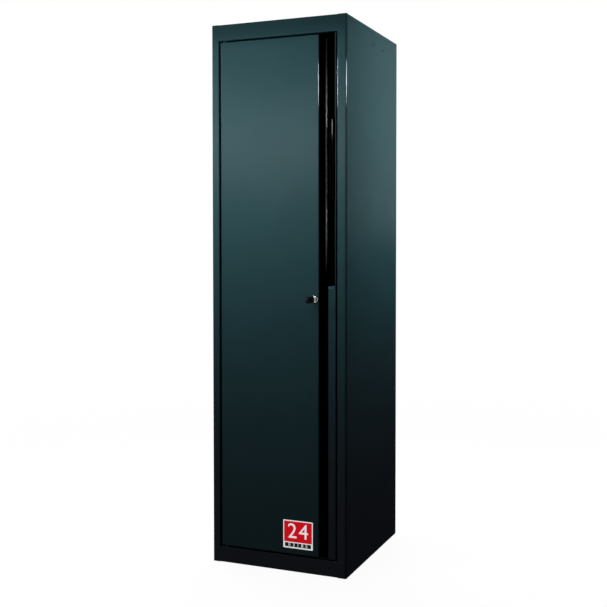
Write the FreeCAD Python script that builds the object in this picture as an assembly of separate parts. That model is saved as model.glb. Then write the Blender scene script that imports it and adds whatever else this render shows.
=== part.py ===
"""Tall single-door steel side locker for a tool chest.

Millimetres. +Z is up and the floor is Z = 0. +X is to the right of somebody who
faces the door and +Y runs from the door to the back. The origin is on the floor,
at the middle of the space that the locker and its key take up. "Depth" in the
names below counts backwards from the front plane of the locker.

Each sub-part is written to parts/NAME.step.
"""
import FreeCAD
import Part
import os
from math import cos, pi, radians, sin, tan

V = FreeCAD.Vector
X_AXIS = V(1, 0, 0)
Y_AXIS = V(0, 1, 0)
Z_AXIS = V(0, 0, 1)

# ---- overall size and sheet ----------------------------------------------------
locker_width = 400.0
locker_depth = 440.0
locker_height = 1500.0
sheet = 1.2
edge_bend = 3.0
inner_bend = edge_bend - sheet

# ---- front frame -----------------------------------------------------------------
hinge_post_width = 22.0
lock_post_width = 28.0
post_return = 30.0
top_rail_height = 45.0
bottom_rail_height = 44.0
rail_flange = 80.0
rail_hem = 14.0
rail_lap = 25.0

# ---- door ------------------------------------------------------------------------
hinge_gap = 4.5
lock_gap = 3.6
top_gap = 3.5
bottom_gap = 3.5
door_flange = 25.0
door_return = 12.0
recess_width = 48.0
recess_depth = 50.0
weld_flange = 14.0
hem_width = 4.0
lip_width = 21.0
lip_top = 785.0
lip_roll = 12.0
lip_roll_reach = 22.0

# ---- grip --------------------------------------------------------------------------
grip_bottom = 1014.0
grip_length = 210.0
grip_width = 20.6
grip_crown = 2.6
grip_thickness = 6.0
grip_edge = 2.6
grip_flange = 30.0
grip_flange_thickness = 3.0
grip_end_chamfer = 2.0
grip_notch = 1.0
grip_screw_inset = 30.0
grip_screw_radius = 2.0
grip_screw_head_radius = 3.8
grip_screw_head = 2.2

# ---- pivots ------------------------------------------------------------------------
pivot_side = 12.0
pivot_depth = 10.0
pin_radius = 4.0
pin_clearance = 0.05
pin_rail_clearance = 0.5
bush_wall = 1.5
bush_length = 12.0
bush_rim_radius = 8.0
bush_rim = 1.5
bush_lift = 0.3
collar_radius = 7.0
bracket_thickness = 3.0
bracket_width = 34.0
bracket_length = 58.0
bracket_front = 3.0
bracket_screw_radius = 2.0
bracket_screw_head_radius = 3.6
bracket_screw_head = 1.8
bracket_screw_first = 36.0
bracket_screw_pitch = 14.0

# ---- door stops --------------------------------------------------------------------
stop_right_edge = 62.0
stop_width = 20.0
stop_drop = 17.0
stop_foot = 15.0
stop_sheet = 1.5
buffer_radius = 4.5
buffer_length = 3.2
buffer_gap = 0.3

# ---- door stiffener ----------------------------------------------------------------
stiffener_left = -65.0
stiffener_width = 60.0
stiffener_height = 18.0
stiffener_foot = 12.0
stiffener_end_gap = 45.0

# ---- lock --------------------------------------------------------------------------
lock_to_recess = 11.0
lock_height = 746.0
lock_barrel_radius = 8.0
lock_barrel_length = 24.0
lock_hole_clearance = 0.1
lock_flange_radius = 8.7
lock_flange = 1.2
escutcheon_radius = 10.6
escutcheon_height = 2.2
plug_radius = 6.0
plug_clearance = 0.05
plug_inset = 0.4
clip_thickness = 1.2
clip_depth = 4.0
clip_reach = 7.4
clip_base = 3.5
spindle_radius = 4.0
spindle_stub_radius = 2.0
spindle_stub = 6.0
spindle_square = 5.0
support_thickness = 1.5
support_height = 24.0
support_left = 10.0
support_right = 36.0
cam_gap = 0.8
cam_thickness = 2.5
cam_arm_width = 9.0
cam_hub_radius = 7.0
crank_radius = 14.0
crank_pin_radius = 2.5
crank_pin_length = 4.2
cam_screw_radius = 1.5
cam_screw_length = 8.0
cam_screw_head_radius = 3.2
cam_screw_head = 2.0

# ---- locking rods ------------------------------------------------------------------
rod_width = 15.0
rod_thickness = 3.0
rod_gap = 0.6
rod_end_margin = 5.0
rod_rest_gap = 4.0
slot_clearance = 0.6
rod_guide_height = 16.0
rod_guide_thickness = 11.0
rod_guide_left = 22.0
rod_guide_right = 40.0
rod_guide_clearance = 0.3
rod_guide_near = 110.0
rod_guide_far = 600.0
guide_screw_offset = 33.0
guide_screw_radius = 1.7
guide_screw_head_radius = 3.2
guide_screw_head = 1.6
guide_screw_grip = 1.2
keeper_thickness = 2.0
keeper_margin = 9.0
keeper_clearance = 0.8
keeper_relief = 1.2

# ---- key ---------------------------------------------------------------------------
key_reach = 60.0
key_pivot_reach = 20.0
key_blade_thickness = 2.2
key_blade_height = 8.0
key_blade_depth = 17.0
key_slot_clearance = 0.1
key_eye_radius = 4.5
key_head_height = 17.0
key_head_thickness = 6.4
key_head_round = 5.0
key_head_slot_clearance = 0.25
key_head_slot_reach = 6.5
key_pin_radius = 1.6
key_ring_radius = 2.6
key_ring_inset = 7.0
key_dish_length = 24.0
key_dish_height = 9.0
key_dish_depth = 0.6

# ---- walls, roof and floor of the cabinet ------------------------------------------
panel_lap = 24.0
floor_side_flange = 20.0
floor_start = 66.0
fixing_hole_radius = 3.75
fixing_hole_drop = 44.0
fixing_hole_first = 220.0
fixing_hole_pitch = 84.0

# ---- rivets of the back panel ------------------------------------------------------
rivet_radius = 1.6
rivet_head_radius = 3.2
rivet_head = 0.8
rivet_tail = 1.6
rivet_tail_radius = 2.2
rivet_edge = 12.0
rivet_rows = 7
rivet_first = 60.0

# ---- shelves -----------------------------------------------------------------------
shelf_heights = (420.0, 780.0, 1120.0)
shelf_front = 78.0
shelf_back_gap = 8.0
shelf_side_gap = 2.3
shelf_rim = 25.0
shelf_bend = 2.0
upright_width = 25.0
upright_depth = 12.0
upright_front = 92.0
upright_back = 58.0
upright_end_gap = 16.0
upright_slot_pitch = 20.0
upright_slot_width = 13.0
upright_slot_height = 4.0
clip_plate_thickness = 2.0
clip_plate_height = 20.0
clip_plate_width = 12.0
clip_tongue = 16.0
clip_hook = 3.0
clip_hook_height = 3.4

# ---- number label ------------------------------------------------------------------
label_right_gap = 17.9
label_bottom_gap = 17.5
label_width = 87.0
label_height = 76.5
label_thickness = 0.4

# ---- places worked out from the sizes above ----------------------------------------
half_width = locker_width / 2
front = (key_reach - locker_depth - rivet_head) / 2
opening_left = -half_width + hinge_post_width
opening_right = half_width - lock_post_width
opening_bottom = bottom_rail_height
opening_top = locker_height - top_rail_height

door_left = opening_left + hinge_gap
door_right = opening_right - lock_gap
door_bottom = opening_bottom + bottom_gap
door_top = opening_top - top_gap
panel_right = door_right - recess_width
channel_wall = door_right - sheet
recess_back = recess_depth + sheet
weld_face = panel_right - 2 * sheet

pivot_x = door_left + pivot_side

lock_x = panel_right - lock_to_recess
spindle_end = recess_back + support_thickness + cam_gap
cam_back = spindle_end + cam_thickness
rod_depth = cam_back + rod_gap
rod_back = rod_depth + rod_thickness
crank_start = radians(45.0)
crank_low = crank_radius * sin(crank_start)
crank_mean = crank_radius * (1 + cos(crank_start)) / 2
rod_travel = 2 * crank_low
upper_rod_x = lock_x - crank_mean
lower_rod_x = lock_x + crank_mean


def depth(distance):
    """Y of a point that lies this far behind the front plane."""
    return front + distance


def box(x0, x1, d0, d1, z0, z1):
    """Block between two X, two depths and two heights."""
    return Part.makeBox(x1 - x0, d1 - d0, z1 - z0, V(x0, depth(d0), z0))


def rod_y(radius, x, z, d0, d1):
    """Cylinder along Y between two depths."""
    return Part.makeCylinder(radius, d1 - d0, V(x, depth(d0), z), Y_AXIS)


def rod_x(radius, d, z, x0, x1):
    """Cylinder along X."""
    return Part.makeCylinder(radius, x1 - x0, V(x0, depth(d), z), X_AXIS)


def rod_z(radius, x, d, z0, z1):
    """Cylinder along Z."""
    return Part.makeCylinder(radius, z1 - z0, V(x, depth(d), z0), Z_AXIS)


def join(first, *others):
    """One solid from pieces that share faces."""
    return first.multiFuse(list(others)).removeSplitter()


def round_edges(shape, radius, wanted):
    """Fillet the edges whose middle passes the test `wanted`."""
    edges = [edge for edge in shape.Edges if wanted(edge.CenterOfMass)]
    return shape.makeFillet(radius, edges)


def near(a, b):
    return abs(a - b) < 1e-6


def turned(vector, angle):
    """A flat vector turned about Z."""
    return V(vector.x * cos(angle) - vector.y * sin(angle),
             vector.x * sin(angle) + vector.y * cos(angle), 0)


def face_line(corners, radii):
    """Edges of one face of a folded strip: straight runs joined by arcs."""
    edges = []
    start = corners[0]
    for before, corner, after, radius in zip(corners, corners[1:], corners[2:], radii):
        way_in = (corner - before).normalize()
        way_out = (after - corner).normalize()
        turn = way_in.getAngle(way_out)
        run = radius * tan(turn / 2)
        enter = corner - way_in * run
        leave = corner + way_out * run
        inward = (way_out - way_in).normalize()
        centre = corner + inward * (radius / cos(turn / 2))
        middle = centre - inward * radius
        edges.append(Part.makeLine(start, enter))
        edges.append(Part.Arc(enter, middle, leave).toShape())
        start = leave
    edges.append(Part.makeLine(start, corners[-1]))
    return edges


def strip(points, thickness, bend):
    """Flat section of a folded sheet.

    `points` are the corners of its outer face. The sheet lies to the right of the
    way along them, and every fold turns to the right with `bend` as outer radius.
    """
    outer = [V(x, y, 0) for x, y in points]
    ways = [(b - a).normalize() for a, b in zip(outer, outer[1:])]
    inner = [outer[0] + turned(ways[0], -pi / 2) * thickness]
    for way, way_next, corner in zip(ways, ways[1:], outer[1:]):
        across = turned(way, -pi / 2) + turned(way_next, -pi / 2)
        inner.append(corner + across * (thickness / (across.Length ** 2 / 2)))
    inner.append(outer[-1] + turned(ways[-1], -pi / 2) * thickness)
    folds = len(points) - 2
    outer_edges = face_line(outer, [bend] * folds)
    inner_edges = face_line(inner, [bend - thickness] * folds)
    caps = [Part.makeLine(outer[0], inner[0]), Part.makeLine(outer[-1], inner[-1])]
    edges = Part.__sortEdges__(outer_edges + inner_edges + caps)
    return Part.Face(Part.Wire(edges))


def upright_strip(points, thickness, bend, z0, z1):
    """Folded strip that stands upright; its points are (x, depth)."""
    section = strip([(x, depth(d)) for x, d in points], thickness, bend)
    section.translate(V(0, 0, z0))
    return section.extrude(V(0, 0, z1 - z0))


def lying_strip(points, thickness, bend, x0, x1):
    """Folded strip that runs along X; its points are (depth, z)."""
    section = strip(points, thickness, bend)
    section.rotate(V(0, 0, 0), V(1, 1, 1), 120)
    section.translate(V(x0, front, 0))
    return section.extrude(V(x1 - x0, 0, 0))


# ---- cabinet -------------------------------------------------------------------------
def side_panel(side, post_width):
    """Wall of the cabinet with all its edges folded inwards and a closed front post."""
    outer = box(half_width - post_width, half_width, 0, locker_depth, 0, locker_height)
    outer = round_edges(outer, edge_bend, lambda c: near(c.x, half_width) or (
        near(c.x, half_width - post_width) and near(c.y, front)))
    inner = box(half_width - post_width + sheet, half_width - sheet,
                sheet, locker_depth - sheet, sheet, locker_height - sheet)
    inner = round_edges(inner, inner_bend, lambda c: near(c.x, half_width - sheet) or (
        near(c.x, half_width - post_width + sheet) and near(c.y, depth(sheet))))
    mouth = box(half_width - post_width, half_width - post_width + sheet,
                post_return, locker_depth - sheet, sheet, locker_height - sheet)
    panel = outer.cut(inner).cut(mouth)
    panel = panel.cut(fixing_holes()).cut(rivet_holes(1))
    if side < 0:
        panel = panel.mirror(V(0, 0, 0), X_AXIS)
    return panel


def fixing_holes():
    """Two holes near the top of a side wall, for bolting the locker to a tool chest."""
    z = locker_height - fixing_hole_drop
    holes = [rod_x(fixing_hole_radius, fixing_hole_first + i * fixing_hole_pitch, z,
                   half_width - 2 * sheet, half_width + sheet) for i in range(2)]
    return Part.makeCompound(holes)


def rivet_places(side):
    """Centres of the rivets along one rear edge, as (x, z)."""
    step = (locker_height - 2 * rivet_first) / (rivet_rows - 1)
    return [(side * (half_width - rivet_edge), rivet_first + i * step) for i in range(rivet_rows)]


def rivet_holes(side):
    return Part.makeCompound([rod_y(rivet_radius, x, z, locker_depth - 3 * sheet, locker_depth + sheet)
                              for x, z in rivet_places(side)])


def back_panel():
    """Sheet that is riveted behind the rear folds of the two side panels."""
    panel = box(-half_width + inner_bend + sheet, half_width - inner_bend - sheet,
                locker_depth - 2 * sheet, locker_depth - sheet,
                edge_bend, locker_height - edge_bend)
    return panel.cut(rivet_holes(1)).cut(rivet_holes(-1))


def back_rivets():
    """Blind rivets, heads outside."""
    rivets = []
    for side in (-1, 1):
        for x, z in rivet_places(side):
            head = rod_y(rivet_head_radius, x, z, locker_depth, locker_depth + rivet_head)
            head = round_edges(head, rivet_head * 0.7, lambda c: c.y > depth(locker_depth) + rivet_head / 2
                               and near(c.x, x))
            shank = rod_y(rivet_radius, x, z, locker_depth - 2 * sheet, locker_depth)
            tail = rod_y(rivet_tail_radius, x, z, locker_depth - 2 * sheet - rivet_tail,
                         locker_depth - 2 * sheet)
            rivets.append(join(head, shank, tail))
    return Part.makeCompound(rivets)


def roof_panel():
    """Roof sheet, under the top folds of the side panels and of the top rail."""
    z1 = locker_height - sheet
    left = -half_width + edge_bend
    right = half_width - edge_bend
    roof = box(left, right, rail_lap - panel_lap + post_return, locker_depth - 2 * sheet, z1 - sheet, z1)
    nose = box(opening_left, opening_right, edge_bend, rail_lap - panel_lap + post_return, z1 - sheet, z1)
    return join(roof, nose)


def top_rail():
    """Rail over the door: face, lap for the roof, and a deep flange that carries the
    pivot, the keeper and the stop."""
    rail = lying_strip([(rail_flange, opening_top + rail_hem), (rail_flange, opening_top),
                        (0, opening_top), (0, locker_height), (rail_lap, locker_height)],
                       sheet, edge_bend, opening_left, opening_right)
    return rail.cut(rail_pin_hole(opening_top - sheet, opening_top + 2 * sheet)).cut(
        keeper_slot(upper_rod_x, opening_top - sheet, opening_top + 2 * sheet, keeper_relief)).cut(
        bracket_screw_holes(opening_top - sheet, opening_top + 2 * sheet))


def bottom_rail():
    """Rail under the door, the mirror image of the top rail in its folds."""
    rail = lying_strip([(rail_lap, 0), (0, 0), (0, opening_bottom), (rail_flange, opening_bottom),
                        (rail_flange, opening_bottom - rail_hem)],
                       sheet, edge_bend, opening_left, opening_right)
    return rail.cut(rail_pin_hole(opening_bottom - 2 * sheet, opening_bottom + sheet)).cut(
        keeper_slot(lower_rod_x, opening_bottom - 2 * sheet, opening_bottom + sheet, keeper_relief)).cut(
        bracket_screw_holes(opening_bottom - 2 * sheet, opening_bottom + sheet))


def rail_pin_hole(z0, z1):
    return rod_z(pin_radius + pin_rail_clearance, pivot_x, pivot_depth, z0, z1)


def keeper_slot(x, z0, z1, margin):
    """Slot for the tip of a locking rod."""
    return box(x - rod_width / 2 - margin, x + rod_width / 2 + margin,
               rod_depth - margin, rod_back + margin, z0, z1)


def bracket_screw_places():
    return [bracket_screw_first + i * bracket_screw_pitch for i in range(2)]


def bracket_screw_holes(z0, z1):
    return Part.makeCompound([rod_z(bracket_screw_radius, pivot_x, d, z0, z1)
                              for d in bracket_screw_places()])


def floor_panel():
    """Raised floor. Its front edge lies on the rail's flange, its sides are folded down."""
    top = opening_bottom + sheet
    left = -half_width + sheet
    right = half_width - sheet
    last = locker_depth - edge_bend
    floor = box(left, right, floor_start, last, opening_bottom, top)
    low = opening_bottom - floor_side_flange
    flanges = [box(x, x + sheet, rail_flange + sheet, last, low, opening_bottom)
               for x in (left, right - sheet)]
    flanges.append(box(left, right, last - sheet, last, low, opening_bottom))
    return join(floor, *flanges)


def pivot_bracket(top):
    """Plate that holds a hinge pin, screwed to the inner side of a rail's flange."""
    if top:
        z0 = opening_top + sheet
    else:
        z0 = opening_bottom - sheet - bracket_thickness
    left = max(pivot_x - bracket_width / 2, opening_left)
    plate = box(left, pivot_x + bracket_width / 2, bracket_front, bracket_front + bracket_length,
                z0, z0 + bracket_thickness)
    plate = round_edges(plate, edge_bend, lambda c: near(c.z, z0 + bracket_thickness / 2))
    plate = plate.cut(rod_z(pin_radius, pivot_x, pivot_depth, z0, z0 + bracket_thickness))
    return plate.cut(bracket_screw_holes(z0, z0 + bracket_thickness))


def hinge_pin(top):
    """Pin that the door turns on. The lower one has a collar that carries the door."""
    if top:
        low = door_top - bush_length + bush_rim
        high = opening_top + sheet + bracket_thickness
        pin = rod_z(pin_radius, pivot_x, pivot_depth, low, high)
        return round_edges(pin, pin_radius / 4, lambda c: near(c.z, low) and near(c.x, pivot_x))
    low = opening_bottom - sheet - bracket_thickness
    high = door_bottom + bush_length - bush_rim
    pin = rod_z(pin_radius, pivot_x, pivot_depth, low, high)
    pin = round_edges(pin, pin_radius / 4, lambda c: near(c.z, high) and near(c.x, pivot_x))
    collar = rod_z(collar_radius, pivot_x, pivot_depth, opening_bottom,
                   door_bottom - bush_rim - bush_lift)
    return join(pin, collar)


def bracket_screws():
    """Four pan-head screws, heads in the gap between rail and door."""
    screws = []
    for d in bracket_screw_places():
        upper = rod_z(bracket_screw_radius, pivot_x, d, opening_top, opening_top + sheet + bracket_thickness)
        upper_head = rod_z(bracket_screw_head_radius, pivot_x, d,
                           opening_top - bracket_screw_head, opening_top)
        lower = rod_z(bracket_screw_radius, pivot_x, d,
                      opening_bottom - sheet - bracket_thickness, opening_bottom)
        lower_head = rod_z(bracket_screw_head_radius, pivot_x, d,
                           opening_bottom, opening_bottom + bracket_screw_head)
        screws += [join(upper, upper_head), join(lower, lower_head)]
    return Part.makeCompound(screws)


def rod_keeper(x, z0):
    """Wear plate with the slot that a locking rod enters."""
    plate = box(x - rod_width / 2 - keeper_margin, x + rod_width / 2 + keeper_margin,
                rod_depth - keeper_margin, rod_back + keeper_margin, z0, z0 + keeper_thickness)
    return plate.cut(keeper_slot(x, z0, z0 + keeper_thickness, keeper_clearance))


def stop_front():
    return door_flange + buffer_gap + buffer_length


def door_stops():
    """Two small angles on the rails, for the buffers."""
    right = stop_right_edge
    left = right - stop_width
    near_depth = stop_front()
    upper = join(box(left, right, near_depth, near_depth + stop_foot, opening_top - stop_sheet, opening_top),
                 box(left, right, near_depth, near_depth + stop_sheet,
                     opening_top - stop_drop, opening_top - stop_sheet))
    lower = join(box(left, right, near_depth, near_depth + stop_foot,
                     opening_bottom, opening_bottom + stop_sheet),
                 box(left, right, near_depth, near_depth + stop_sheet,
                     opening_bottom + stop_sheet, opening_bottom + stop_drop))
    return Part.makeCompound([upper, lower])


def door_buffers():
    """Rubber buffers that the door's folded edge closes against."""
    x = stop_right_edge - stop_width / 2
    lift = sheet + (door_return - sheet) / 2
    face = door_flange + buffer_gap
    buffers = []
    for z in (door_top - lift, door_bottom + lift):
        dome = rod_y(buffer_radius, x, z, face, stop_front())
        buffers.append(round_edges(dome, buffer_length / 3, lambda c: near(c.y, depth(face))))
    return Part.makeCompound(buffers)


# ---- shelving ------------------------------------------------------------------------
def upright_depths():
    return (upright_front, locker_depth - upright_back - upright_width)


def slot_heights(z0, z1):
    """Heights of the slots of an upright, counted up from its foot."""
    count = int((z1 - z0 - 2 * upright_slot_pitch) // upright_slot_pitch) + 1
    return [z0 + upright_slot_pitch * (i + 1) for i in range(count)]


def upright_ends():
    return opening_bottom + sheet + upright_end_gap, opening_top - upright_end_gap


def shelf_upright(side, near_depth):
    """Slotted channel on a side wall, for the shelf clips."""
    z0, z1 = upright_ends()
    wall = half_width - sheet
    base = wall - upright_depth
    far_depth = near_depth + upright_width
    channel = upright_strip([(wall, near_depth), (base, near_depth), (base, far_depth), (wall, far_depth)],
                            sheet, edge_bend, z0, z1)
    middle = near_depth + upright_width / 2
    slots = [box(base - sheet, base + 2 * sheet, middle - upright_slot_width / 2,
                 middle + upright_slot_width / 2, z, z + upright_slot_height)
             for z in slot_heights(z0, z1)]
    channel = channel.cut(Part.makeCompound(slots))
    if side < 0:
        channel = channel.mirror(V(0, 0, 0), X_AXIS)
    return channel


def shelf_seat(height):
    """Height of the slot that carries a shelf which is wanted near `height`."""
    z0, z1 = upright_ends()
    return min(slot_heights(z0, z1), key=lambda z: abs(z - height))


def shelf(height):
    """Folded steel shelf: a tray upside down."""
    z0 = shelf_seat(height) + clip_hook_height
    half = half_width - sheet - upright_depth - shelf_side_gap
    last = locker_depth - 2 * sheet - shelf_back_gap
    outer = box(-half, half, shelf_front, last, z0, z0 + shelf_rim)
    outer = round_edges(outer, shelf_bend, lambda c: near(c.z, z0 + shelf_rim))
    inner = box(-half + sheet, half - sheet, shelf_front + sheet, last - sheet, z0, z0 + shelf_rim - sheet)
    inner = round_edges(inner, shelf_bend - sheet, lambda c: near(c.z, z0 + shelf_rim - sheet))
    return outer.cut(inner)


def shelf_clips():
    """Clips that hook into the uprights, four to a shelf."""
    clips = []
    face = half_width - sheet - upright_depth
    slot_gap = (upright_slot_height - clip_hook_height) / 2
    for height in shelf_heights:
        low = shelf_seat(height) + slot_gap
        top = shelf_seat(height) + clip_hook_height
        for near_depth in upright_depths():
            middle = near_depth + upright_width / 2
            d0 = middle - clip_plate_width / 2
            d1 = middle + clip_plate_width / 2
            plate = box(face - clip_plate_thickness, face, d0, d1, top - clip_plate_height, top)
            tongue = box(face - clip_tongue, face - clip_plate_thickness, d0, d1,
                         top - clip_plate_thickness, top)
            hook = box(face, face + clip_hook, d0, d1, low, low + clip_hook_height - slot_gap)
            clip = join(plate, tongue, hook)
            clips += [clip, clip.mirror(V(0, 0, 0), X_AXIS)]
    return Part.makeCompound(clips)


# ---- door ----------------------------------------------------------------------------
def door_panel():
    """Door skin: a tray with folded edges whose right edge is the left wall of the recess."""
    outer = box(door_left, panel_right, 0, door_flange, door_bottom, door_top)
    outer = round_edges(outer, edge_bend, lambda c: near(c.y, front))
    inner = box(door_left + sheet, panel_right - sheet, sheet, door_flange,
                door_bottom + sheet, door_top - sheet)
    inner = round_edges(inner, inner_bend, lambda c: near(c.y, depth(sheet)))
    tray = outer.cut(inner)
    wall_end = recess_depth - edge_bend
    wall = box(panel_right - sheet, panel_right, door_flange, wall_end, door_bottom, door_top)
    back0 = door_flange - sheet
    returns = [
        box(door_left + sheet, door_left + door_return, back0, door_flange,
            door_bottom + sheet, door_top - sheet),
        box(door_left + door_return, panel_right - sheet, back0, door_flange,
            door_top - door_return, door_top - sheet),
        box(door_left + door_return, panel_right - sheet, back0, door_flange,
            door_bottom + sheet, door_bottom + door_return),
    ]
    door = join(tray, wall, *returns)
    door = door.cut(rod_y(lock_barrel_radius + lock_hole_clearance, lock_x, lock_height, -1, 2 * sheet))
    bush_radius = pin_radius + bush_wall
    for z0, z1 in ((door_bottom - 1, door_bottom + 2 * sheet), (door_top - 2 * sheet, door_top + 1)):
        door = door.cut(rod_z(bush_radius, pivot_x, pivot_depth, z0, z1))
    return door


def channel_section(return_width, z0, z1):
    """Recess channel with a return of the given width at its front edge."""
    return upright_strip([(weld_face, recess_back - weld_flange), (weld_face, recess_back),
                          (door_right, recess_back), (door_right, 0), (door_right - return_width, 0)],
                         sheet, edge_bend, z0, z1)


def plain_section(z0, z1):
    """Recess channel without a return, where the grip sits."""
    return upright_strip([(weld_face, recess_back - weld_flange), (weld_face, recess_back),
                          (door_right, recess_back), (door_right, sheet)],
                         sheet, edge_bend, z0, z1)


def handle_channel():
    """Back and right wall of the recess, with the pull lip of the lower half."""
    grip_top = grip_bottom + grip_length
    lower = channel_section(lip_width, door_bottom, lip_top - lip_roll)
    middle = channel_section(hem_width, lip_top - lip_roll, grip_bottom - grip_notch)
    at_grip = plain_section(grip_bottom - grip_notch, grip_top + grip_notch)
    upper = channel_section(hem_width, grip_top + grip_notch, door_top)
    roll = lying_strip([(0, lip_top - 2 * lip_roll), (0, lip_top), (lip_roll_reach, lip_top)],
                       sheet, lip_roll, door_right - lip_width, channel_wall)
    channel = join(lower, middle, at_grip, upper, roll)
    for z in grip_screw_heights():
        channel = channel.cut(rod_x(grip_screw_radius, grip_screw_depth(), z,
                                    channel_wall - 1, door_right + 1))
    return channel.cut(guide_screw_holes())


def channel_end_caps():
    """Plates that close the two ends of the recess."""
    caps = []
    for z0 in (door_bottom, door_top - sheet):
        cap = box(panel_right, channel_wall, sheet, recess_depth, z0, z0 + sheet)
        caps.append(round_edges(cap, edge_bend, lambda c: near(c.z, z0 + sheet / 2) and (
            near(c.y, depth(recess_depth)) or near(c.x, channel_wall))))
    return Part.makeCompound(caps)


def grip_screw_heights():
    return (grip_bottom + grip_screw_inset, grip_bottom + grip_length - grip_screw_inset)


def grip_screw_depth():
    return (grip_thickness + grip_crown + grip_flange) / 2


def grip_section():
    """Section of the grip, drawn from its front corner at the recess wall."""
    rear = grip_crown + grip_thickness
    tip = rear - grip_edge
    left = -grip_width
    flange = -grip_flange_thickness
    eighth = grip_edge * (1 - cos(pi / 4))
    corners = {
        "front": V(0, grip_crown, 0),
        "crown": V(left / 2, 0, 0),
        "edge_front": V(left, tip, 0),
        "edge_nose": V(left + eighth, rear - eighth, 0),
        "edge_rear": V(left + grip_edge, rear, 0),
        "fillet_start": V(flange - grip_edge, rear, 0),
        "fillet_middle": V(flange - eighth, rear + eighth, 0),
        "fillet_end": V(flange, rear + grip_edge, 0),
        "flange_rear": V(flange, grip_flange, 0),
        "wall_rear": V(0, grip_flange, 0),
    }
    edges = [
        Part.Arc(corners["front"], corners["crown"], corners["edge_front"]).toShape(),
        Part.Arc(corners["edge_front"], corners["edge_nose"], corners["edge_rear"]).toShape(),
        Part.makeLine(corners["edge_rear"], corners["fillet_start"]),
        Part.Arc(corners["fillet_start"], corners["fillet_middle"], corners["fillet_end"]).toShape(),
        Part.makeLine(corners["fillet_end"], corners["flange_rear"]),
        Part.makeLine(corners["flange_rear"], corners["wall_rear"]),
        Part.makeLine(corners["wall_rear"], corners["front"]),
    ]
    return Part.Face(Part.Wire(edges))


def grip_handle():
    """Plastic grip: a crowned front bar on a flange that is screwed to the recess wall."""
    grip = grip_section().extrude(V(0, 0, grip_length))
    reach = grip_end_chamfer + grip_width
    for end, way in ((0, 1), (grip_length, -1)):
        corners = [V(-grip_width - 1, -grip_width, end - way * grip_width),
                   V(-grip_width - 1, reach, end - way * grip_width),
                   V(-grip_width - 1, -grip_width, end + way * reach)]
        wedge = Part.Face(Part.makePolygon([*corners, corners[0]]))
        grip = grip.cut(wedge.extrude(V(grip_width + 2, 0, 0)))
    grip.translate(V(channel_wall, front, grip_bottom))
    for z in grip_screw_heights():
        grip = grip.cut(rod_x(grip_screw_radius, grip_screw_depth(), z,
                              channel_wall - grip_flange_thickness - 1, channel_wall + 1))
    return grip


def grip_screws():
    """Two screws through the grip's flange into the recess wall."""
    flange_face = channel_wall - grip_flange_thickness
    screws = []
    for z in grip_screw_heights():
        shank = rod_x(grip_screw_radius, grip_screw_depth(), z, flange_face, door_right)
        tip = flange_face - grip_screw_head
        head = rod_x(grip_screw_head_radius, grip_screw_depth(), z, tip, flange_face)
        head = round_edges(head, grip_screw_head / 2, lambda c: near(c.x, tip))
        screws.append(join(shank, head))
    return Part.makeCompound(screws)


def door_stiffener():
    """Hat section bonded behind the door skin."""
    right = stiffener_left + stiffener_width
    z0 = door_bottom + stiffener_end_gap
    z1 = door_top - stiffener_end_gap
    top = sheet + stiffener_height
    web_left = stiffener_left + stiffener_foot
    web_right = right - stiffener_foot
    web = upright_strip([(web_left, sheet), (web_left, top), (web_right, top), (web_right, sheet)],
                        sheet, edge_bend, z0, z1)
    feet = [box(stiffener_left, web_left, sheet, 2 * sheet, z0, z1),
            box(web_right, right, sheet, 2 * sheet, z0, z1)]
    return join(web, *feet)


def pivot_bush(top):
    """Flanged nylon bush in an end of the door."""
    bush_radius = pin_radius + bush_wall
    if top:
        tube = rod_z(bush_radius, pivot_x, pivot_depth, door_top - bush_length, door_top)
        rim = rod_z(bush_rim_radius, pivot_x, pivot_depth, door_top, door_top + bush_rim)
    else:
        tube = rod_z(bush_radius, pivot_x, pivot_depth, door_bottom, door_bottom + bush_length)
        rim = rod_z(bush_rim_radius, pivot_x, pivot_depth, door_bottom - bush_rim, door_bottom)
    bush = join(tube, rim)
    return bush.cut(rod_z(pin_radius + pin_clearance, pivot_x, pivot_depth,
                          door_bottom - bush_length, door_top + bush_length))


def number_label():
    """Thin plate label on the door."""
    right = panel_right - label_right_gap
    bottom = door_bottom + label_bottom_gap
    return box(right - label_width, right, -label_thickness, 0, bottom, bottom + label_height)


# ---- lock ----------------------------------------------------------------------------
def lock_barrel():
    """Chromed lock housing that is fixed in the door."""
    face = -escutcheon_height - lock_flange
    barrel = rod_y(lock_barrel_radius, lock_x, lock_height, -escutcheon_height, lock_barrel_length)
    flange = rod_y(lock_flange_radius, lock_x, lock_height, face, -escutcheon_height)
    flange = round_edges(flange, lock_flange * 0.6, lambda c: near(c.y, depth(face)))
    barrel = join(barrel, flange).cut(
        rod_y(plug_radius + plug_clearance, lock_x, lock_height, face - 1, lock_barrel_length + 1))
    for side in (-1, 1):
        edge = lock_height + side * clip_reach
        far = lock_height + side * (lock_barrel_radius + 1)
        barrel = barrel.cut(box(lock_x - lock_barrel_radius - 1, lock_x + lock_barrel_radius + 1,
                                sheet, sheet + clip_thickness, min(edge, far), max(edge, far)))
    return barrel


def lock_clip():
    """Forked spring clip that pulls the lock barrel against the door skin."""
    left = lock_x - lock_barrel_radius - clip_base
    right = lock_x + lock_barrel_radius - 1
    outer = clip_reach + clip_depth
    plate = box(left, right, sheet, sheet + clip_thickness, lock_height - outer, lock_height + outer)
    plate = plate.cut(box(left + clip_base, right, sheet, sheet + clip_thickness,
                          lock_height - clip_reach, lock_height + clip_reach))
    return plate.cut(rod_y(lock_barrel_radius, lock_x, lock_height, 0, 3 * sheet).common(
        box(left, lock_x, 0, 3 * sheet, lock_height - clip_reach, lock_height + clip_reach)))


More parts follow.
